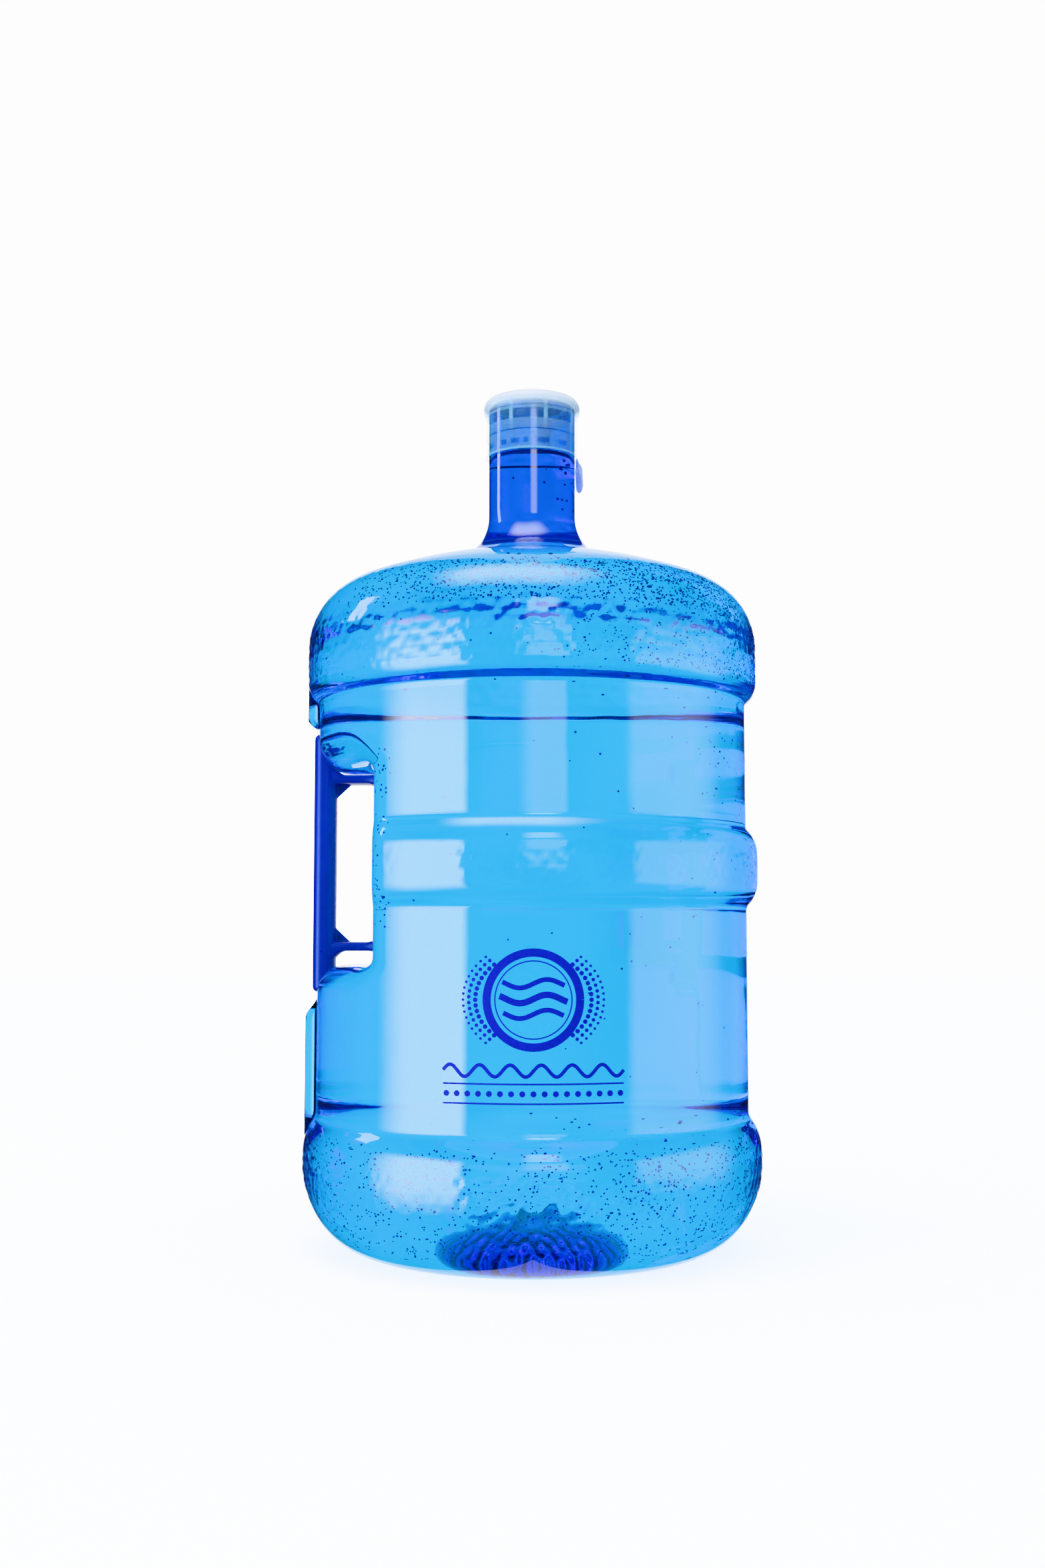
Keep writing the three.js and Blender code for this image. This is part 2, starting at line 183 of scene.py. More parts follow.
def outline():
    """The outside of the jug from the middle of its base up to the mouth, as rows of r and z."""
    ring = FOOT["ring"]
    push = arc(0, PUSH_UP["z"], PUSH_UP["r"], PUSH_UP["centre_z"] - PUSH_UP["z"], 88, 8, 2.1)
    dome, neck_z = dome_pieces()
    pieces = [
        push,
        arc(push[-1][0] + 36, push[-1][1] + 24, 40, 34, 228, 250, 2.6)[1:],
        line((ring - FOOT["ring_width"], 0), (ring, 0), 4),
        arc(ring, FOOT["corner_z"], FOOT_R - ring, FOOT["corner_z"], -90, 0, 2.2),
        line((FOOT_R, FOOT["corner_z"]), (FOOT_R, FOOT_GROOVE[0]), 2),
        s_bend((FOOT_R, FOOT_GROOVE[0]), (PANEL_R, FOOT_GROOVE[1]), 0.75, 1.6),
        line((PANEL_R, FOOT_GROOVE[1]), (PANEL_R, POCKET_SPAN[0][0]), 4),
        line((PANEL_R, POCKET_SPAN[0][0]), (PANEL_R, POCKET_SPAN[0][1]), 1.5),
        line((PANEL_R, POCKET_SPAN[0][1]), (PANEL_R, BAND_BOTTOM[0]), 2.5),
        s_bend((PANEL_R, BAND_BOTTOM[0]), (BULGE_R, BAND_BOTTOM[1]), 0.78, 1.5),
        line((BULGE_R, BAND_BOTTOM[1]), (BULGE_R, BAND_TOP[0]), 2),
        s_bend((BULGE_R, BAND_TOP[0]), (PANEL_R, BAND_TOP[1]), 0.8, 1.5),
        line((PANEL_R, BAND_TOP[1]), (PANEL_R, POCKET_SPAN[1][0]), 3),
        line((PANEL_R, POCKET_SPAN[1][0]), (PANEL_R, POCKET_SPAN[1][1]), 1.4),
        line((PANEL_R, POCKET_SPAN[1][1]), (PANEL_R, TOP_GROOVE[0]), 2),
        s_bend((PANEL_R, TOP_GROOVE[0]), (BULGE_R, TOP_GROOVE[1]), 0.78, 1.3),
        line((BULGE_R, TOP_GROOVE[1]), (BULGE_R, SHOULDER["z"]), 2),
        *dome,
        line((NECK_R, neck_z), (NECK_R, MOUTH_Z - 1.2), 2),
        arc(NECK_R - 1.2, MOUTH_Z - 1.2, 1.2, 1.2, 0, 90, 0.6),
    ]
    rows = [pieces[0]]
    for piece in pieces[1:]:
        same = np.linalg.norm(piece[0] - rows[-1][-1]) < 0.01
        rows.append(piece[1:] if same else piece)
    return np.vstack(rows)


def smooth_min(a, b, blend):
    h = np.clip(0.5 + 0.5 * (b - a) / blend, 0, 1)
    return b * (1 - h) + a * h - blend * h * (1 - h)


def pocket_bend(depth, level, radii, span, rows):
    """One column of the pocket's ceiling: up from its floor, round under it and out to the wall."""
    edge, inner = radii
    both = edge + inner
    turn = math.acos(max(0.0, 1 - depth / both))
    up = math.sin(turn)
    degrees = math.degrees(turn)
    curve = np.vstack([
        [[PANEL_R - depth, span[0]]],
        arc(PANEL_R - depth + inner, level - inner * up, inner, inner, 180, 180 - degrees, 0.6),
        arc(PANEL_R - edge, level + edge * up, edge, edge, -degrees, 0, 0.6),
        [[PANEL_R, span[1]]],
    ])
    run = np.concatenate([[0], np.cumsum(np.linalg.norm(np.diff(curve, axis=0), axis=1))])
    at = np.linspace(0, run[-1], rows)
    return np.column_stack([np.interp(at, run, curve[:, 0]), np.interp(at, run, curve[:, 1])])


def body_grid():
    """r and z of every point of the outside, as rows by columns; column 0 faces -X."""
    rows = outline()
    turn = full_turn(COLUMNS)
    r = np.repeat(rows[:, :1], COLUMNS, axis=1)
    z = np.repeat(rows[:, 1:], COLUMNS, axis=1)
    facing = np.cos(turn)
    plane = np.where(facing > 0.2, POCKET["floor"] / np.maximum(facing, 0.2), 1e3)

    (low0, low1), (high0, high1) = POCKET_SPAN
    upright = (rows[:, 1] > low0 - 1) & (rows[:, 1] < high1 + 1) & (rows[:, 0] > 100)
    floor_rows = upright & (rows[:, 1] >= low1) & (rows[:, 1] <= high0)
    r[floor_rows] = smooth_min(plane[None, :], r[floor_rows], POCKET["blend"])

    lower = np.flatnonzero(upright & (rows[:, 1] >= low0 - 0.01) & (rows[:, 1] <= low1 + 0.01))
    upper = np.flatnonzero(upright & (rows[:, 1] >= high0 - 0.01) & (rows[:, 1] <= high1 + 0.01))
    for j in range(COLUMNS):
        depth = PANEL_R - smooth_min(plane[j], PANEL_R, POCKET["blend"])
        if depth < 1e-6:
            continue
        below, above = POCKET_RADII
        bend = pocket_bend(depth, POCKET["top"], above, (high0, high1), len(upper))
        r[upper, j], z[upper, j] = bend[:, 0], bend[:, 1]
        bend = pocket_bend(depth, -POCKET["bottom"], below, (-low1, -low0), len(lower))
        r[lower, j], z[lower, j] = bend[::-1, 0], -bend[::-1, 1]

    side = np.abs(r * np.sin(turn))
    near = (facing > 0)[None, :]
    face = 1 / np.maximum(facing, 0.2)[None, :]
    on_rib = (1 - smooth(RIB["half"], RIB["half"] + 3, side)) * near
    low_rib = smooth(60, 66, z) * (1 - smooth(RIB["lower_end"] - 5, RIB["lower_end"] + 7, z))
    high_rib = smooth(RIB["upper_end"] - 3, RIB["upper_end"] + 4, z) * (1 - smooth(334, 340, z))
    rise = on_rib * np.maximum(low_rib, high_rib)
    r = r + rise * np.maximum(RIB["r"] * face - r, 0)

    in_slot = (1 - smooth(SLOT["half"], SLOT["half"] + 2.6, side)) * near
    in_slot = in_slot * smooth(SLOT["bottom"] - 2.4, SLOT["bottom"], z)
    in_slot = in_slot * (1 - smooth(SLOT["top"], SLOT["top"] + 2.4, z))
    r = r + in_slot * np.minimum(SLOT["floor"] * face - r, 0)
    return rows, turn, r, z


def to_points(turn, r, z):
    """Columns go round from -X through -Y."""
    return np.stack([-r * np.cos(turn), -r * np.sin(turn), z], axis=-1)


def grid_normals(points):
    along = np.gradient(points, axis=0)
    padded = np.concatenate([points[:, -1:], points, points[:, :1]], axis=1)
    around = (padded[:, 2:] - padded[:, :-2]) / 2
    normal = np.cross(around, along)
    return normal / np.maximum(np.linalg.norm(normal, axis=2, keepdims=True), 1e-9)


def chance(i, j, seed):
    """A fixed random number for each cell."""
    value = np.sin(i * 127.1 + j * 311.7 + seed * 74.7) * 43758.5453
    return value - np.floor(value)


def pebbles(across, up, around, cell):
    """Height 0 to 1 of a packed field of round bumps that closes up after a distance around."""
    count = max(3, round(around / cell))
    width, height = around / count, cell * 0.87
    column, row = np.floor(across / width), np.floor(up / height)
    nearest = np.full(across.shape, 9.0)
    for down in (-1, 0, 1):
        for over in (-1, 0, 1, 2):
            i, j = column + over, row + down
            wrapped = np.mod(i, count)
            centre = (i + 0.5 * np.mod(j, 2) + 0.5 * (chance(wrapped, j, 1) - 0.5)) * width
            level = (j + 0.5 + 0.5 * (chance(wrapped, j, 2) - 0.5)) * height
            nearest = np.minimum(nearest, np.hypot(across - centre, up - level) / cell)
    return 0.5 + 0.5 * np.cos(math.pi * np.clip(nearest / 0.62, 0, 1))


def hammered(rows, turn, points):
    """How far each point of the outside stands out for the hammered bands and the base."""
    z = points[..., 2]
    radius = np.hypot(points[..., 0], points[..., 1])
    upright = rows[:, :1] > 110
    bands = sum(share * smooth(a, b, z) * (1 - smooth(c, d, z)) for share, a, b, c, d in HAMMERED)
    in_pocket = np.clip((np.minimum(BULGE_R, rows[:, :1]) - radius - 1.5) / 2, 0, 1)
    around = 2 * math.pi * BULGE_R
    across = np.tile(turn, (len(rows), 1)) * BULGE_R
    run = np.concatenate([[0], np.cumsum(np.linalg.norm(np.diff(rows, axis=0), axis=1))])
    up = np.repeat(run[:, None], COLUMNS, axis=1)
    wall = pebbles(across, up, around, CELL) * bands * upright * (1 - in_pocket)
    under = (rows[:, :1] < 84) * (rows[:, 1:] < 60) * (1 - smooth(62, 80, radius))
    flat = pebbles(points[..., 0] + 400, points[..., 1] + 400, 800, CELL) * under
    return PEBBLE * wall + 1.8 * PEBBLE * flat


def thickness(rows, turn, z):
    """Blown walls are thin on the panels, thick at the neck and in the middle of the base."""
    r = rows[:, :1]
    neck = 1 - smooth(26.5, 95, r)
    t = WALL + (NECK_WALL - WALL) * neck * (rows[:, 1:] > 200)
    base = (1 - smooth(54, 68, r)) * (rows[:, 1:] < 60)
    t = t + (BASE_WALL - WALL) * base
    slow = np.sin(2 * turn + 0.7)[None, :] * np.sin(z / 41.0)
    quick = 0.6 * np.sin(5 * turn + 2.1 + z / 63.0)
    return t * (1 + 0.05 * (slow + quick))


def placed(name, data):
    made = bpy.data.objects.new(name, data)
    scene.collection.objects.link(made)
    return made


def mesh_object(name, points, faces, smooth_shaded=True):
    mesh = bpy.data.meshes.new(name)
    mesh.from_pydata(np.asarray(points).tolist(), [], faces)
    mesh.validate()
    mesh.shade_smooth() if smooth_shaded else mesh.shade_flat()
    return placed(name, mesh)


def grid_faces(first, rows, columns, flip=False):
    i, j = np.meshgrid(np.arange(rows - 1), np.arange(columns), indexing="ij")
    a = first + i * columns + j
    b = first + i * columns + (j + 1) % columns
    quads = np.stack([a, b, b + columns, a + columns], axis=-1).reshape(-1, 4)
    return (quads[:, ::-1] if flip else quads).tolist()


def jug_body():
    """One closed shell: the outside, the inside at half the density, and the rim between."""
    rows, turn, r, z = body_grid()
    plain = to_points(turn, r, z)
    normal = grid_normals(plain)
    outside = plain + normal * hammered(rows, turn, plain)[..., None]
    wall = thickness(rows, turn, z)
    keep = np.arange((len(rows) - 1) % 2, len(rows), 2)
    inside = (plain - normal * wall[..., None])[keep][:, ::2]
    inside_normal = -normal[keep][:, ::2]
    half = COLUMNS // 2

    inside[-1, :, 2] = MOUTH_Z
    points = np.vstack([
        outside.reshape(-1, 3),
        inside.reshape(-1, 3),
        [[0, 0, PUSH_UP["centre_z"]]],
        [[0, 0, PUSH_UP["centre_z"] + BASE_WALL]],
    ])
    first_inside = len(rows) * COLUMNS
    faces = grid_faces(0, len(rows), COLUMNS)
    faces += grid_faces(first_inside, len(keep), half, flip=True)
    rim = (len(rows) - 1) * COLUMNS
    rim_in = first_inside + (len(keep) - 1) * half
    under, over = len(points) - 2, len(points) - 1
    for j in range(half):
        here, middle, there = rim + 2 * j, rim + 2 * j + 1, rim + (2 * j + 2) % COLUMNS
        near, far = rim_in + j, rim_in + (j + 1) % half
        faces += [(here, middle, near), (middle, far, near), (middle, there, far)]
        faces.append((first_inside + (j + 1) % half, over, first_inside + j)[::-1])
    faces += [(under, (j + 1) % COLUMNS, j) for j in range(COLUMNS)]
    piece = mesh_object("jug_body_blown", points * MM, faces)

    wet = inside[..., 2] < WATER_Z
    ior = np.full(len(points), PET_IOR)
    ior[first_inside:first_inside + wet.size] = np.where(wet.ravel(), PET_IOR / WATER_IOR, PET_IOR)
    ior[-1] = PET_IOR / WATER_IOR
    piece.data.attributes.new("wall_ior", "FLOAT", "POINT").data.foreach_set("value", ior)
    return piece, inside, inside_normal


# ---- handle ----


def loft(bm, rings):
    """A closed skin over rings of points in millimetres, all of one length."""
    made = [[bm.verts.new(Vector(p) * MM) for p in ring] for ring in rings]
    for lower, upper in zip(made, made[1:]):
        for k in range(len(lower)):
            after = (k + 1) % len(lower)
            bm.faces.new((lower[k], lower[after], upper[after], upper[k]))
    bm.faces.new(made[0][::-1])
    bm.faces.new(made[-1])


def rounded_section(half_a, half_b, square):
    """Points of a rounded rectangle, by its half sizes. A larger square has tighter corners."""
    turn = full_turn(40)
    c, s = np.cos(turn), np.sin(turn)
    return np.column_stack([
        half_a * np.sign(c) * np.abs(c) ** (2 / square),
        half_b * np.sign(s) * np.abs(s) ** (2 / square),
    ])


def grip(bm):
    middle, half = -(GRIP["outer"] + GRIP["inner"]) / 2, (GRIP["outer"] - GRIP["inner"]) / 2
    soft = 3.2  # rounding of its two ends
    bends = np.linspace(0.15, math.pi / 2, 7)
    steps = [(soft * (1 - math.cos(a)), soft * (1 - math.sin(a))) for a in bends]
    levels = [(GRIP["bottom"] + rise, inset) for rise, inset in steps]
    levels += [(z, 0.0) for z in np.linspace(GRIP["bottom"] + 8, GRIP["top"] - 8, 12)]
    levels += [(GRIP["top"] - rise, inset) for rise, inset in reversed(steps)]
    rings = []
    for z, inset in levels:
        section = rounded_section(half - inset, GRIP["half"] - inset, 3.0)
        rings.append([(middle + a, b, z) for a, b in section])
    loft(bm, rings)


def arm(bm, level, away):
    """From the grip to the pocket's floor: flared at the grip, with a foot at its far end."""
    start, end = -GRIP["inner"] - 3, -ARM["end"]
    rings = []
    for t in np.linspace(0, 1, 22):
        x = start + (end - start) * t
        root = 1 - float(smooth(0, 0.42, t))
        foot = float(smooth(0.8, 1, t))
        thick = ARM["thick"] + 6.5 * root**2 + 2.2 * foot**2
        lift = away * 2.6 * root**2 - away * 0.3 * foot
        width = ARM["half"] - 1.6 * math.sin(math.pi * t) + 0.2 * foot
        section = rounded_section(width, thick / 2, 5.0)
        rings.append([(x, a, level + lift + b) for a, b in section])
    loft(bm, rings)


def gusset(bm, level, away):
    """The web between the grip and each arm, on the fingers' side."""
    near = level - away * ARM["thick"] / 2
    x = -GRIP["inner"]
    reach, drop, half = GUSSET["reach"], GUSSET["drop"], GUSSET["half"]
    corners = (-3, -drop - 0.1), (0.2, -drop + 0.1), (reach, 0.3), (reach, 2), (-3, 4)
    side = [(x + out, near + away * up) for out, up in corners]
    if away > 0:
        side = side[::-1]
    loft(bm, [[(a, y, b) for a, b in side] for y in (-half, half)])


def remeshed(piece, voxel, rounds):
    """One skin over its overlapping shapes, with the inner corners filleted."""
    skin = piece.modifiers.new("one_skin", "REMESH")
    skin.mode = "VOXEL"
    skin.voxel_size = voxel * MM
    skin.use_smooth_shade = True
    soft = piece.modifiers.new("fillets", "SMOOTH")
    soft.factor = 0.5
    soft.iterations = rounds


def empty_piece(name, bm):
    bmesh.ops.recalc_face_normals(bm, faces=bm.faces)
    mesh = bpy.data.meshes.new(name)
    bm.to_mesh(mesh)
    bm.free()
    mesh.shade_smooth()
    return placed(name, mesh)


def handle():
    bm = bmesh.new()
    grip(bm)
    for level, away in ARMS:
        arm(bm, level, away)
        gusset(bm, level, away)
    piece = empty_piece("handle_moulded", bm)
    remeshed(piece, 0.55, 6)
    return piece


# ---- cap ----


def softened(corners, step=1.2):
    """A loop through corners of (r, z, rounding), with each corner rounded and long sides split."""
    made = []
    for i, (r, z, rounding) in enumerate(corners):
        here = np.array([r, z])
        before, after = [np.array(corners[(i + k) % len(corners)][:2], float) for k in (-1, 1)]
        back, ahead = before - here, after - here
        reach = [min(rounding, 0.45 * np.linalg.norm(side)) for side in (back, ahead)]
        a = here + back / np.linalg.norm(back) * reach[0]
        b = here + ahead / np.linalg.norm(ahead) * reach[1]
        t = np.linspace(0, 1, 5)[:, None] if rounding > 0 else np.array([[0.5]])
        curve = (1 - t) ** 2 * a + 2 * (1 - t) * t * here + t**2 * b
        if made:
            gap = np.linalg.norm(curve[0] - made[-1][-1])
            if gap > 1.5 * step:
                made.append(line(made[-1][-1], curve[0], step)[1:-1])
        made.append(curve)
    return np.vstack(made)


def turned(name, rows, segments, loop=True, shape=None):
    """A body of revolution, whose outline is a loop or runs from the axis back to it."""
    rows = np.asarray(rows, float)
    turn = full_turn(segments)
    r = np.repeat(rows[:, :1], segments, axis=1)
    z = np.repeat(rows[:, 1:], segments, axis=1)
    if shape:
        r, z = shape(r, z, turn)
    points = np.stack([r * np.cos(turn), r * np.sin(turn), z], axis=-1).reshape(-1, 3)
    faces = grid_faces(0, len(rows), segments)
    last, ring = (len(rows) - 1) * segments, range(segments)
    if loop:
        faces += [(last + j, last + (j + 1) % segments, (j + 1) % segments, j) for j in ring]
    else:
        faces += [list(ring)[::-1], [last + j for j in ring]]
    return mesh_object(name, points * MM, faces)


def apart(angle, centre, pitch):
    """How far an angle is from the nearest of the centres that repeat at a pitch."""
    return np.abs(np.mod(angle - centre + pitch / 2, pitch) - pitch / 2)


def cylindrical(face):
    """Azimuth in degrees, radius and height in millimetres of a face's middle."""
    x, y, z = face.center / MM
    return math.degrees(math.atan2(y, x)), math.hypot(x, y), z


def cap_outline():
    seat, reach = RIM["widest"], CAP_TOP - RIM["widest"]
    crown = []
    for a in np.linspace(0, math.pi / 2, 14):
        c, s = math.cos(a) ** (2 / RIM["square"]), math.sin(a) ** (2 / RIM["square"])
        crown.append((RIM["r"] - RIM["round"] + RIM["round"] * c, seat + reach * s, 0))
    r, inner, bottom = SKIRT["r"], SKIRT["inner"], SKIRT["score"] + GAP
    groove = r - WINDOW["depth"]
    return softened([
        (inner, bottom, 0.2), (r, bottom, 0.25),
        (r, WINDOW["bottom"], 0.25), (groove, WINDOW["bottom"] + 0.25, 0.2),
        (groove, WINDOW["top"] - 0.25, 0.2), (r, WINDOW["top"], 0.25),
        (r, RIM["bottom"], 0.8), (RIM["r"] - 0.5, RIM["bottom"] - 0.1, 0.5),
        *crown,
        (PLATE["edge"] + 1.6, CAP_TOP, 0.8), (PLATE["edge"], PLATE["top"], 0.8),
        (WELL["inner"], PLATE["top"], 0.8), (WELL["inner"], WELL["bottom"], 0.3),
        (WELL["outer"], WELL["bottom"], 0.4), (WELL["outer"], PLATE["bottom"], 0.8),
        (inner, PLATE["bottom"], 0.6),
    ], 1.0)


def with_ribs(r, z, turn):
    """Upright ribs that cross the recessed windows under the rim."""
    pitch = 2 * math.pi / WINDOW["ribs"]
    across = apart(turn, math.radians(WINDOW["first"]), pitch) * SKIRT["r"]
    rib = 1 - smooth(WINDOW["rib"] / 2 - 0.25, WINDOW["rib"] / 2 + 0.25, across)
    high = (z > WINDOW["bottom"] - 0.2) & (z < WINDOW["top"] + 0.2) & (r > SKIRT["inner"] + 0.2)
    return np.where(high, r + rib[None, :] * np.maximum(SKIRT["r"] - r, 0), r), z


def cap_shell():
    """Its second material is for the thin walls of the windows."""
    piece = turned("cap_shell_moulded", cap_outline(), 288, shape=with_ribs)
    pitch = 360 / WINDOW["ribs"]
    rib = math.degrees(WINDOW["rib"] / 2 / SKIRT["r"])
    for face in piece.data.polygons:
        azimuth, radius, z = cylindrical(face)
        between = apart(azimuth, WINDOW["first"], pitch) > rib
        if between and WINDOW["bottom"] < z < WINDOW["top"] and radius > WELL["outer"] + 1:
            face.material_index = 1
    return piece


def tear_band():
    """Its second material is where the lugs press it against the neck."""
    r, inner = SKIRT["r"] - 0.05, SKIRT["inner"]
    bottom, top = SKIRT["bottom"], SKIRT["score"] - GAP
    bead = r + 0.3
    rows = softened([
        (inner, bottom, 0.2), (bead, bottom, 0.4), (bead, bottom + 1.0, 0.3),
        (r, bottom + 1.7, 0.3), (r, top, 0.3),
        (inner, top, 0.2), (inner, 484.0, 0.1), (inner, 479.0, 0.1),
    ], 0.8)

    def with_lugs(r, z, turn):
        """Low lugs inside, of uneven length, that catch under the neck's bead."""
        lug = np.zeros(len(turn))
        for at, half in LUGS:
            off = apart(np.degrees(turn), at, 360)
            lug = np.maximum(lug, 1 - smooth(half - 0.6, half + 0.6, off))
        level = smooth(478.4, 479.2, z) * (1 - smooth(482.6, 483.6, z))
        return np.where(r < inner + 0.05, r - 0.3 * lug[None, :] * level, r), z

    piece = turned("tear_band_moulded", rows, 288, shape=with_lugs)
    for face in piece.data.polygons:
        azimuth, _, z = cylindrical(face)
        pressed = any(apart(azimuth, at, 360) < half for at, half in LUGS)
        if pressed and 479.3 < z < 482.6:
            face.material_index = 1
    return piece


def pull_tab():
    """A long loop that hangs from a round root: a rolled edge, a thin web and cross ribs."""
    half, length = TAB["half"], TAB["length"]
    bm = bmesh.new()

    def rod(points, radius):
        rings = []
        for i, point in enumerate(points):
            ahead = Vector(points[min(i + 1, len(points) - 1)]) - Vector(points[max(i - 1, 0)])
            ahead.normalize()
            out = Vector((1, 0, 0))
            side = ahead.cross(out)
            ring = [Vector(point) + out * (radius * math.cos(a)) + side * (radius * math.sin(a))
                    for a in full_turn(10)]
            rings.append(ring)
        loft(bm, rings)

    edge, turn_z = half - 0.7, -length + half + 0.4
    curve = [(0, -edge, z) for z in np.linspace(-0.2, turn_z, 9)]
    curve += [(0, edge * math.sin(a), turn_z - (half - 0.4) * math.cos(a) * 0.92)
              for a in np.radians(np.linspace(-75, 75, 13))]
    curve += [(0, edge, z) for z in np.linspace(turn_z, -0.2, 9)]
    rod(curve, TAB_ROD)
    rod([(0, y, 0) for y in np.linspace(-half + 0.1, half - 0.1, 9)], 0.6)
    for z in -4.6 - 2.9 * np.arange(5):
        rod([(0.25, y, z) for y in np.linspace(-edge, edge, 7)], TAB_ROD)
    web = [(y, z) for _, y, z in curve]
    loft(bm, [[(x, y, z) for y, z in web] for x in (-0.3, 0.1)])
    for v in bm.verts:
        share = smooth(0, TAB_TWIST["over"], -v.co.z / MM)
        v.co = Matrix.Rotation(TAB_TWIST["angle"] * share, 3, "Z") @ v.co
        v.co.x += TAB_TWIST["clear"] * MM * share
    piece = empty_piece("pull_tab_moulded", bm)
    remeshed(piece, 0.16, 3)
    root = Matrix.Translation((TAB["x"] * MM, 0, TAB["z"] * MM))
    piece.matrix_world = root @ Matrix.Rotation(math.radians(-TAB["lean"]), 4, "Y")
    return piece


def gasket():
    low, high = MOUTH_Z + GAP, PLATE["bottom"] - GAP
    inner, outer = GASKET["inner"], GASKET["outer"]
    corners = [(inner, low, 0.4), (outer, low, 0.4), (outer, high, 0.4), (inner, high, 0.4)]
    return turned("sealing_gasket_foam", softened(corners, 0.6), 160)


def probe_plug():
    """A cup with a rounded floor, a rolled lip and two sealing beads round it."""
    r, floor_z, top = WELL["inner"] - 0.35, WELL["bottom"] + 0.5, WELL["bottom"] + 10
    rows = softened([
        (0.4, floor_z, 0), (r - 1.4, floor_z, 1.2), (r, floor_z + 1.4, 0.8),
        (r, floor_z + 3, 0.3), (r - 0.3, floor_z + 3.4, 0.3),
        (r - 0.3, floor_z + 5.4, 0.3), (r, floor_z + 5.8, 0.3),
        (r, top, 0.5), (r - 1.2, top, 0.5), (r - 1.2, floor_z + 1.8, 1.0), (0.4, floor_z + 1.6, 0),
    ], 0.7)
    return turned("probe_plug_moulded", rows, 160, loop=False)


def dust_label():
    r, low, high = PLATE["edge"] - 0.6, PLATE["top"] + GAP, PLATE["top"] + 0.62

    def dished(r, z, turn):
        """The film sags a little over the well and is not quite flat at its edge."""
        sag = 0.12 * (1 - smooth(4, 12, r))
        wave = 0.05 * smooth(10, 18, r) * np.sin(5 * turn + 0.6)[None, :]
        return r, z - sag + np.abs(wave)

    rows = softened([(0.3, low, 0), (r, low, 0.12), (r, high, 0.12), (0.3, high, 0)], 1.5)
    return turned("dust_label_film", rows, 160, loop=False, shape=dished)


# ---- water, bubbles and print ----


def water_surface():
    """The level in the neck. Its edge, drawn up and down the wall, has a second material: painted
    shade.
    """
    wall, segments = NECK_R - NECK_WALL, 96
    rows = [(0.2, WATER_Z), (wall - 2.4, WATER_Z)]
    rows += [(wall - 1.1 + t, WATER_Z - 0.35 + 1.5 * t**3) for t in np.linspace(0, 1, 8)]
    rows += [(wall - 0.08, WATER_Z + 1.0 - 2.1 * t) for t in np.linspace(0, 1, 4)]
    turn = full_turn(segments)
    points = [(r * math.cos(a), r * math.sin(a), z) for r, z in rows for a in turn]
    faces = grid_faces(0, len(rows), segments, flip=True) + [list(range(segments))]
    piece = mesh_object("water_surface", np.array(points) * MM, faces)
    for face in piece.data.polygons:
        if cylindrical(face)[1] > wall - 1.4:
            face.material_index = 1
    return piece


def bubbles(inside, normal):
    """Small bubbles of air on the inner wall, thickest under the shoulder and round the foot."""
    rng = np.random.default_rng(41)
    height, columns = inside[..., 2], inside.shape[1]
    azimuth = np.degrees(np.arctan2(inside[..., 0], -inside[..., 1]))  # 0 in front, 90 at +X
    radius = np.hypot(inside[..., 0], inside[..., 1])
    upper = (height > 60) | (radius > 100)

    def scatter(count, low, high, left, right, smallest, largest, crowd):
        fits = (height > low) & (height < high) & (azimuth > left) & (azimuth < right) & upper
        rows, cols = np.nonzero(fits[:-1])
        share = (azimuth[rows, cols] - left) / (right - left)
        weight = radius[rows, cols] * (0.15 + share**crowd)
        chosen = rng.choice(len(rows), count, p=weight / weight.sum())
        rows, cols = rows[chosen], cols[chosen]
        after = (cols + 1) % columns
        u, v = rng.random((2, count, 1))
        place = (1 - u) * inside[rows, cols] + u * inside[rows, after]
        above = (1 - u) * inside[rows + 1, cols] + u * inside[rows + 1, after]
        size = smallest + (largest - smallest) * rng.random(count) ** 2
        return place * (1 - v) + above * v + normal[rows, cols] * size[:, None] * 0.95, size

    groups = [scatter(*group) for group in BUBBLES]
    centre = np.vstack([g[0] for g in groups])
    size = np.concatenate([g[1] for g in groups])
    bm = bmesh.new()
    bmesh.ops.create_icosphere(bm, subdivisions=2, radius=1)
    ball = np.array([v.co for v in bm.verts])
    corners = np.array([[v.index for v in f.verts] for f in bm.faces])
    bm.free()
    points = centre[:, None, :] + ball[None] * size[:, None, None]
    faces = corners[None] + (np.arange(len(size)) * len(ball))[:, None, None]
    return mesh_object("air_bubbles", points.reshape(-1, 3) * MM, faces.reshape(-1, 3).tolist())


def printed(parts):
    """Ink on the front panel. Each part is a grid of (across, up) points, bent round the jug."""
    points, faces = [], []
    for part in parts:
        part = np.asarray(part, float)
        rows, cols = part.shape[:2]
        first = len(points)
        for layer in (PANEL_R - 0.1, PANEL_R + 0.07):
            turn = part[..., 0] / PANEL_R
            lifted = np.stack([layer * np.sin(turn), -layer * np.cos(turn), part[..., 1]], axis=-1)
            points += lifted.reshape(-1, 3).tolist()
        size = rows * cols
        for i in range(rows - 1):
            for j in range(cols - 1):
                a = first + i * cols + j
                quad = (a, a + 1, a + cols + 1, a + cols)
                faces.append(tuple(q + size for q in quad))
                faces.append(quad[::-1])
        rim = list(range(cols)) + [i * cols + cols - 1 for i in range(1, rows)]
        rim += [(rows - 1) * cols + j for j in range(cols - 2, -1, -1)]
        rim += [i * cols for i in range(rows - 2, 0, -1)]
        for here, there in zip(rim, rim[1:] + rim[:1]):
            a, b = first + here, first + there
            faces.append((a, b, b + size, a + size))
    return mesh_object("front_print", np.array(points) * MM, faces, smooth_shaded=False)


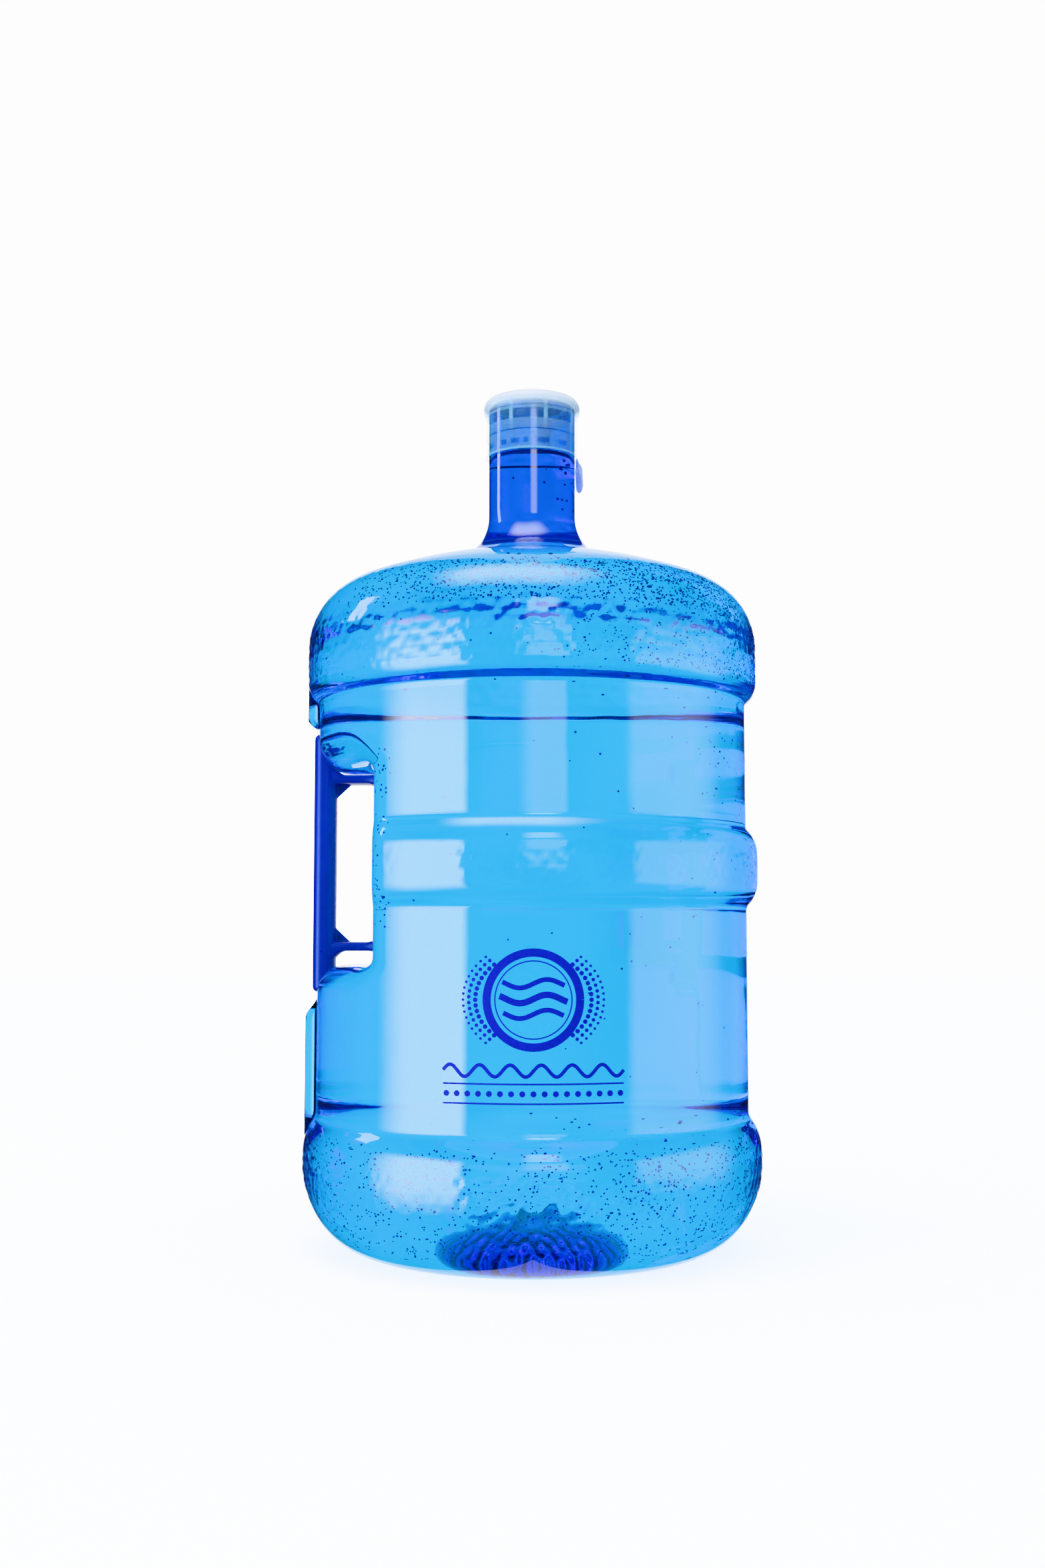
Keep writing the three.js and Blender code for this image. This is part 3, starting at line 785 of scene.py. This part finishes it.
def strip(path, width):
    """A band of one width along a path of (across, up) points."""
    path = np.asarray(path, float)
    ahead = np.gradient(path, axis=0)
    ahead /= np.linalg.norm(ahead, axis=1, keepdims=True)
    side = np.column_stack([-ahead[:, 1], ahead[:, 0]]) * width / 2
    return np.stack([path - side, path + side])


def disc(x, z, r):
    turn = np.linspace(0, 2 * math.pi, 17)
    return [[(x + k * math.cos(a), z + k * math.sin(a)) for a in turn] for k in (0.02 * r, r)]


def front_print():
    """A plain ring round three wavy lines, with rules and a row of dots under it."""
    middle, outer, inner = 150.5, 27.0, 22.6
    ring = np.linspace(0, 2 * math.pi, 121)
    circle = np.column_stack([np.cos(ring), np.sin(ring)])
    parts = [strip((outer + inner) / 2 * circle + (0, middle), outer - inner)[::-1]]
    parts.append(strip((inner - 2.2) * circle + (0, middle), 0.7)[::-1])
    for level, reach, width in ((8.5, 16.5, 2.6), (0.5, 18.0, 3.4), (-7.5, 16.0, 2.6)):
        across = np.linspace(-reach, reach, 61)
        wave = middle + level + 2.2 * np.sin(across / 4.6)
        parts.append(strip(np.column_stack([across, wave]), width))
    across = np.linspace(-49, 49, 141)
    parts.append(strip(np.column_stack([across, 113.5 + 3.1 * np.sin(across / 2.6)]), 1.9))
    for level in (106.6, 96.4):
        parts.append(strip(np.column_stack([across, np.full(len(across), level)]), 0.9))
    parts += [disc(x, 101.5, 1.6) for x in np.linspace(-47, 47, 17)]
    for side in (0, 180):
        for row, (reach, size) in enumerate(((31.0, 1.25), (34.6, 1.0), (37.8, 0.75))):
            for a in np.radians(side + np.linspace(-48, 48, 15 + row)):
                parts.append(disc(reach * math.cos(a), middle + reach * math.sin(a) * 0.8, size))
    return printed(parts)


# ---- materials ----


def material(name, **values):
    """A Principled material; each keyword is one of its sockets."""
    mat = bpy.data.materials.new(name)
    mat.use_nodes = True
    shader = mat.node_tree.nodes["Principled BSDF"]
    return mat, mat.node_tree, feed(mat.node_tree, shader, **values)


def put(tree, socket, value):
    """Gives the socket its own value, or links another socket to it."""
    if isinstance(value, bpy.types.NodeSocket):
        tree.links.new(value, socket)
    else:
        socket.default_value = value


def feed(tree, node, **values):
    """Each keyword is one of the node's sockets."""
    for key, value in values.items():
        put(tree, node.inputs[key.replace("_", " ")], value)
    return node


def add(tree, kind, **values):
    return feed(tree, tree.nodes.new("ShaderNode" + kind), **values)


def noise(tree, scale, detail, roughness=0.5, space="Object"):
    place = add(tree, "TexCoord").outputs[space]
    node = add(tree, "TexNoise", Vector=place, Scale=scale, Detail=detail, Roughness=roughness)
    return node.outputs["Fac"]


def maths(tree, operation, *values):
    node = add(tree, "Math")
    node.operation = operation
    for socket, value in zip(node.inputs, values):
        put(tree, socket, value)
    return node.outputs[0]


def ranged(tree, source, low, high, start=0.3, end=0.7):
    node = add(tree, "MapRange", From_Min=start, From_Max=end, To_Min=low, To_Max=high)
    return feed(tree, node, Value=source).outputs["Result"]


def mixed(tree, share, first, second):
    """From the first colour to the second; each is a socket or a colour."""
    node = add(tree, "Mix")
    node.data_type = "RGBA"
    feed(tree, node, Factor=share, A=first, B=second)
    return node.outputs["Result"]


def patchy(tree, scale, detail, low, high):
    """Noise between two numbers or two colours."""
    source = noise(tree, scale, detail)
    if isinstance(low, tuple):
        return mixed(tree, ranged(tree, source, 0, 1), (*low, 1), (*high, 1))
    return ranged(tree, source, low, high)


def position(tree, space="Object"):
    """X, Y and Z sockets of the place that is being shaded."""
    return add(tree, "SeparateXYZ", Vector=add(tree, "TexCoord").outputs[space]).outputs


def bumped(tree, shader, source, distance, strength):
    node = add(tree, "Bump", Distance=distance, Strength=strength, Height=source)
    feed(tree, shader, Normal=node.outputs["Normal"])


def see_through(tree, shader, share, tint=(1, 1, 1)):
    """The shader's own look, but clear and tinted by a share."""
    clear = add(tree, "BsdfTransparent", Color=(*tint, 1))
    mix = add(tree, "MixShader", Fac=share)
    put(tree, mix.inputs[1], shader.outputs["BSDF"])
    put(tree, mix.inputs[2], clear.outputs["BSDF"])
    feed(tree, tree.nodes["Material Output"], Surface=mix.outputs["Shader"])


def let_lamps_through(tree, shader, tint=(1, 1, 1)):
    """Shadow rays pass straight through, so that lamps light what is behind a clear piece."""
    see_through(tree, shader, add(tree, "LightPath").outputs["Is Shadow Ray"], tint)


def bottle_plastic():
    """Clear polyester. Part of its blue dye darkens with the length of plastic looked through, and
    the rest tints each skin: more in the thick neck and base, where z is in metres."""
    mat, tree, shader = material("tinted_bottle", IOR=PET_IOR, Transmission_Weight=1.0)
    ior = add(tree, "Attribute")
    ior.attribute_name = "wall_ior"
    feed(tree, shader, IOR=ior.outputs["Fac"])
    dye = add(tree, "VolumeAbsorption", **DYE).outputs["Volume"]
    feed(tree, tree.nodes["Material Output"], Volume=dye)

    x, y, z = position(tree)
    panels, neck, push_up = (0.35, 0.78, 0.95, 1), (0.08, 0.46, 0.86, 1), (0.05, 0.36, 0.82, 1)
    blown = ranged(tree, z, 1, 0, 0.385, 0.41)
    off_axis = maths(tree, "ADD", maths(tree, "MULTIPLY", x, x), maths(tree, "MULTIPLY", y, y))
    base = ranged(tree, off_axis, 1, 0, 0.0031, 0.0046)
    base = maths(tree, "MULTIPLY", base, ranged(tree, z, 1, 0, 0.04, 0.05))
    feed(tree, shader, Base_Color=mixed(tree, base, mixed(tree, blown, neck, panels), push_up))

    matt = 0.0
    for low, high in ((0.022, 0.064), (0.326, 0.402)):
        into = ranged(tree, z, 0, 1, low, low + 0.014)
        out = ranged(tree, z, 1, 0, high - 0.014, high)
        matt = maths(tree, "ADD", maths(tree, "MULTIPLY", into, out), matt)
    rough = maths(tree, "MULTIPLY", matt, ranged(tree, noise(tree, 60, 2), 0.03, 0.08))
    feed(tree, shader, Roughness=rough)
    bumped(tree, shader, maths(tree, "MULTIPLY", noise(tree, 26, 2, 0.4), blown), 0.0005, 0.6)
    let_lamps_through(tree, shader, (0.95, 0.97, 1.0))
    return mat


def handle_plastic():
    """Satin moulded plastic: faint flow marks, and a fine spark-eroded grain."""
    mat, tree, shader = material("handle_blue", IOR=1.49, Specular_Tint=(0.3, 0.55, 1.0, 1))
    colour = patchy(tree, 34, 3, (0.0, 0.004, 0.14), (0.0, 0.007, 0.17))
    feed(tree, shader, Base_Color=colour, Roughness=patchy(tree, 420, 2, 0.27, 0.38))
    bumped(tree, shader, noise(tree, 2600, 2), 0.00002, 0.5)
    return mat


def natural_plastic(name, cover, thin=(0.1, 0.28, 0.4), thick=(0.36, 0.38, 0.43)):
    """Natural polyethylene, painted with the blue of what it covers, and whiter where it is thick,
    up at the rim.
    cover lists heights in millimetres with how much one skin hides there."""
    mat, tree, shader = material(name, IOR=1.35)
    z = position(tree)["Z"]
    # Low down the colour is a painted see-through blue of the jug behind the skin. It turns whiter
    # up at the thick rim.
    tint = mixed(tree, ranged(tree, z, 0, 1, 0.5015, 0.5095), (*thin, 1), (*thick, 1))
    cloud = ranged(tree, noise(tree, 90, 3), 0, 0.35)
    feed(tree, shader, Base_Color=mixed(tree, cloud, tint, (*thick, 1)))
    feed(tree, shader, Roughness=patchy(tree, 300, 2, 0.24, 0.36))
    hidden = ranged(tree, noise(tree, 160, 3), -0.02, 0.02)
    for (low, before), (high, after) in zip(cover, cover[1:]):
        step = ranged(tree, z, 0, after - before, low * MM, high * MM)
        hidden = maths(tree, "ADD", hidden, step)
    feed(tree, shader, Alpha=maths(tree, "ADD", hidden, cover[0][1]))
    bumped(tree, shader, noise(tree, 500, 2), 0.00001, 0.3)
    let_lamps_through(tree, shader, (0.7, 0.75, 0.82))
    return mat


def plain_plastic(name, dark, light, rough, grain, depth):
    mat, tree, shader = material(name)
    feed(tree, shader, Base_Color=patchy(tree, grain / 6, 4, dark, light))
    feed(tree, shader, Roughness=patchy(tree, grain / 2, 2, rough - 0.06, rough + 0.06))
    bumped(tree, shader, noise(tree, grain, 2), depth, 0.6)
    return mat


def clear_liquid(name, colour=(1, 1, 1), clearness=1.0):
    mat, tree, shader = material(
        name, Base_Color=(*colour, 1), Roughness=0.0, IOR=WATER_IOR, Transmission_Weight=clearness)
    bumped(tree, shader, noise(tree, 60, 2), 0.00005, 0.3)
    let_lamps_through(tree, shader)
    return mat


def air_in_water_painted_dark():
    """A bubble bends light the other way, so its index is that of air over water."""
    mat = bpy.data.materials.new("air_in_water_painted_dark")
    mat.use_nodes = True
    tree = mat.node_tree
    # Dark blue glass: painted shade, for the dark rims that clear bubbles show in water.
    colour = patchy(tree, 400, 2, (0.03, 0.18, 0.52), (0.08, 0.32, 0.7))
    glass = add(tree, "BsdfGlass", IOR=1 / WATER_IOR, Roughness=0.0, Color=colour)
    let_lamps_through(tree, glass)
    return mat


def ink():
    """Screen-printed ink, a little uneven in cover, with a matt grain."""
    mat, tree, shader = material("print_ink", Specular_IOR_Level=0.15)
    feed(tree, shader, Base_Color=patchy(tree, 700, 4, (0.0, 0.004, 0.17), (0.0, 0.007, 0.22)))
    feed(tree, shader, Roughness=patchy(tree, 1500, 2, 0.42, 0.6))
    bumped(tree, shader, noise(tree, 2400, 2), 0.00001, 0.5)
    return mat


# ---- the stage ----


def floor():
    """A pale floor. Rays that the jug has bent or mirrored pass it, as on a lit glass table."""
    bpy.ops.mesh.primitive_plane_add(size=12)
    plane = bpy.context.object
    plane.name = "studio_floor"
    mat, tree, shader = material(
        "floor_white", Roughness=0.9, Base_Color=(0.9, 0.9, 0.9, 1), Emission_Color=(1, 1, 1, 1))
    path = add(tree, "LightPath").outputs
    glow = maths(tree, "MULTIPLY", path["Is Camera Ray"], SKY)
    feed(tree, shader, Emission_Strength=maths(tree, "MAXIMUM", glow, 0.45))
    bent = maths(tree, "MAXIMUM", path["Is Transmission Ray"], path["Is Glossy Ray"])
    see_through(tree, shader, bent)
    plane.data.materials.append(mat)


def surround():
    """A white studio. Through the jug it is bright in front, behind, to the sides and overhead,
    bluer in between and a little blue underfoot; what the jug mirrors is a narrower backdrop,
    dark on both sides."""
    world = bpy.data.worlds.new("studio")
    scene.world = world
    world.use_nodes = True
    tree = world.node_tree
    x, y, z = position(tree, "Generated")

    def by_angle(angle, widest, levels):
        """Colour at a few angles, in degrees, with soft steps between them."""
        ramp = add(tree, "ValToRGB", Fac=maths(tree, "DIVIDE", angle, math.radians(widest)))
        stops = ramp.color_ramp
        stops.interpolation = "EASE"
        while len(stops.elements) < len(levels):
            stops.elements.new(0.5)
        for stop, (degrees, colour) in zip(stops.elements, levels):
            stop.position = degrees / widest
            stop.color = (*[BACKDROP * c for c in colour], 1)
        return ramp.outputs["Color"]

    white, black = (1, 1, 1), (0.03, 0.03, 0.03)
    dull, deep, below = (0.6, 0.78, 0.92), (0.14, 0.45, 0.78), (0.85, 0.95, 1.0)
    sideways = maths(tree, "ABSOLUTE", x)
    two_fold = maths(tree, "ARCTAN2", sideways, maths(tree, "ABSOLUTE", y))
    one_fold = maths(tree, "ARCTAN2", sideways, y)
    steepness = maths(tree, "ARCCOSINE", z)
    ring = by_angle(two_fold, 90, [
        (0, white), (44, white), (51, dull), (58, deep), (70, deep), (80, dull), (90, white),
    ])
    cloud = ranged(tree, noise(tree, 3.4, 1.0, space="Generated"), 0.8, 1.06)
    uneven = add(tree, "VectorMath")
    uneven.operation = "SCALE"
    feed(tree, uneven, Vector=ring, Scale=cloud)
    aloft = ranged(tree, steepness, 1, 0, *OVERHEAD)
    around = mixed(tree, aloft, uneven.outputs[0], (BACKDROP, BACKDROP, BACKDROP, 1))
    through = mixed(tree, ranged(tree, steepness, 0, 1, *UNDERFOOT), around, (*below, 1))
    mirrored = by_angle(one_fold, 180, [(0, white), (14, white), (18, black), (180, black)])
    path = add(tree, "LightPath").outputs
    outside = maths(tree, "LESS_THAN", path["Transmission Depth"], 0.5)
    glossy = maths(tree, "MULTIPLY", path["Is Glossy Ray"], outside)
    seen = mixed(tree, glossy, through, mirrored)
    seen = mixed(tree, path["Is Camera Ray"], seen, (SKY, SKY, SKY, 1))
    feed(tree, tree.nodes["Background"], Color=seen)


def lamp(name, place, aim, width, height, brightness, fade):
    """A softbox. fade is how much of its size each edge takes to dim: left, right, low and high."""
    data = bpy.data.lights.new(name, "AREA")
    data.shape = "RECTANGLE"
    data.size, data.size_y = width, height
    data.energy = brightness * math.pi * width * height
    data.use_nodes = True
    tree = data.node_tree
    face = add(tree, "NewGeometry").outputs["Parametric"]
    split = add(tree, "SeparateXYZ", Vector=face)
    level = 1.0
    for axis, (near, far) in (("X", fade[:2]), ("Y", fade[2:])):
        for start, end in ((0.0, near), (1.0, 1.0 - far)):
            edge = ranged(tree, split.outputs[axis], 0, 1, start, end)
            edge.node.interpolation_type = "SMOOTHSTEP"
            level = maths(tree, "MULTIPLY", edge, level)
    feed(tree, tree.nodes["Emission"], Strength=level)
    made = placed(name, data)
    made.location = place
    made.rotation_euler = (Vector(place) - Vector(aim)).to_track_quat("Z", "Y").to_euler()
    made.visible_camera = False


def upright(name, azimuth, distance, spread, low, high, brightness, fade):
    """A standing softbox that faces the axis. Azimuth 0 is the camera's side, 90 is +X."""
    a = math.radians(azimuth)
    middle = (low + high) / 2
    place = (math.sin(a) * distance, -math.cos(a) * distance, middle)
    width = 2 * distance * math.tan(math.radians(spread / 2))
    lamp(name, place, (0, 0, middle), width, high - low, brightness, fade)


def overhead(name, azimuth, elevation, distance, width, height, brightness, fade):
    a, e = math.radians(azimuth), math.radians(elevation)
    away = Vector((math.sin(a) * math.cos(e), -math.cos(a) * math.cos(e), math.sin(e)))
    centre = Vector((0, 0, 0.25))
    lamp(name, centre + away * distance, centre, width, height, brightness, fade)


def camera():
    """Low and a little left of the jug's axis, tilted up by a few degrees."""
    data = bpy.data.cameras.new("camera")
    data.sensor_width = 36
    data.lens = CAMERA["lens"]
    cam = placed("camera", data)
    cam.location = CAMERA["place"]
    cam.rotation_euler = (math.radians(90 + CAMERA["tilt"]), 0, 0)
    data.clip_start, data.clip_end = 0.02, 50
    scene.camera = cam


camera()
floor()
surround()
upright("front_left", -58, 1.3, 54, -0.8, 0.7, 13.0, (0.45, 0.1, 0.5, 0.2))
upright("rear_left", -100, 1.3, 12, 0.7, 1.3, 9.0, (0.1, 0.1, 0.1, 0.1))
upright("front_right", 81, 1.3, 70, -0.3, 0.7, 3.2, (0.12, 0.5, 0.35, 0.3))
upright("camera_side", 5, 1.5, 26, 0.2, 0.72, 3.4, (0.35, 0.12, 0.35, 0.3))
upright("camera_side_high", 5, 1.5, 24, 0.72, 1.3, 7.0, (0.35, 0.35, 0.1, 0.1))
overhead("overhead", -14, 73, 1.3, 1.5, 1.15, 10.0, (0.3, 0.4, 0.45, 0.45))

scene.view_settings.view_transform = "Khronos PBR Neutral"
cycles = scene.cycles
cycles.max_bounces = cycles.transmission_bounces = 32
cycles.glossy_bounces, cycles.transparent_max_bounces = 8, 16

body, inner_wall, inner_normal = jug_body()
milky = natural_plastic("natural_polyethylene", (
    (476.6, 0.42), (477.2, 0.16), (487.5, 0.16), (488.2, 0.22), (494.2, 0.26), (494.6, 0.36),
    (501.0, 0.36), (502.4, 0.3), (505.5, 0.6), (508.5, 0.92),
))
clearer = natural_plastic("natural_polyethylene_clear", ((494.5, 0.05), (500.5, 0.1)))
# The tab's blue-grey is also a painted see-through blue, of the jug behind it.
strip_plastic = natural_plastic(
    "natural_polyethylene_strip", ((0.0, 0.8),), (0.16, 0.22, 0.38), (0.27, 0.32, 0.46))
foam = plain_plastic("white_foam", (0.8, 0.8, 0.77), (0.92, 0.92, 0.9), 0.85, 2200, 0.00008)
plug_white = plain_plastic("plug_white", (0.8, 0.82, 0.84), (0.88, 0.9, 0.92), 0.4, 1400, 0.00002)
film = plain_plastic("label_film", (0.84, 0.87, 0.9), (0.92, 0.94, 0.96), 0.35, 800, 0.00003)
water = clear_liquid("water")
# Painted shade: a dark line where the water meets the neck's wall, not a colour of the water.
meniscus_painted_dark = clear_liquid("meniscus_painted_dark", (0.0, 0.02, 0.14), 0.25)

pieces = [  # piece, its body, its slot, its materials and the CAD node that it stands for
    (body, "jug", "bottle", [bottle_plastic()], "jug_body"),
    (handle(), "jug", "handle", [handle_plastic()], "handle"),
    (cap_shell(), "cap", "cap", [milky, clearer], "cap_shell"),
    (tear_band(), "cap", "cap", [milky, clearer], "tear_band"),
    (pull_tab(), "pull_tab", "cap", [strip_plastic], "pull_tab"),
    (gasket(), "cap", "foam", [foam], "sealing_gasket"),
    (probe_plug(), "probe_plug", "plug", [plug_white], "probe_plug"),
    (dust_label(), "cap", "label", [film], "dust_label"),
    (water_surface(), "jug", "water", [water, meniscus_painted_dark], None),
    (bubbles(inner_wall, inner_normal), "jug", "water", [air_in_water_painted_dark()], None),
    (front_print(), "jug", "print", [ink()], None),
]
for piece, rides_on, slot, looks, stands_for in pieces:
    for look in looks:
        piece.data.materials.append(look)
    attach(piece, rides_on)
    if stands_for:
        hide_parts(stands_for)
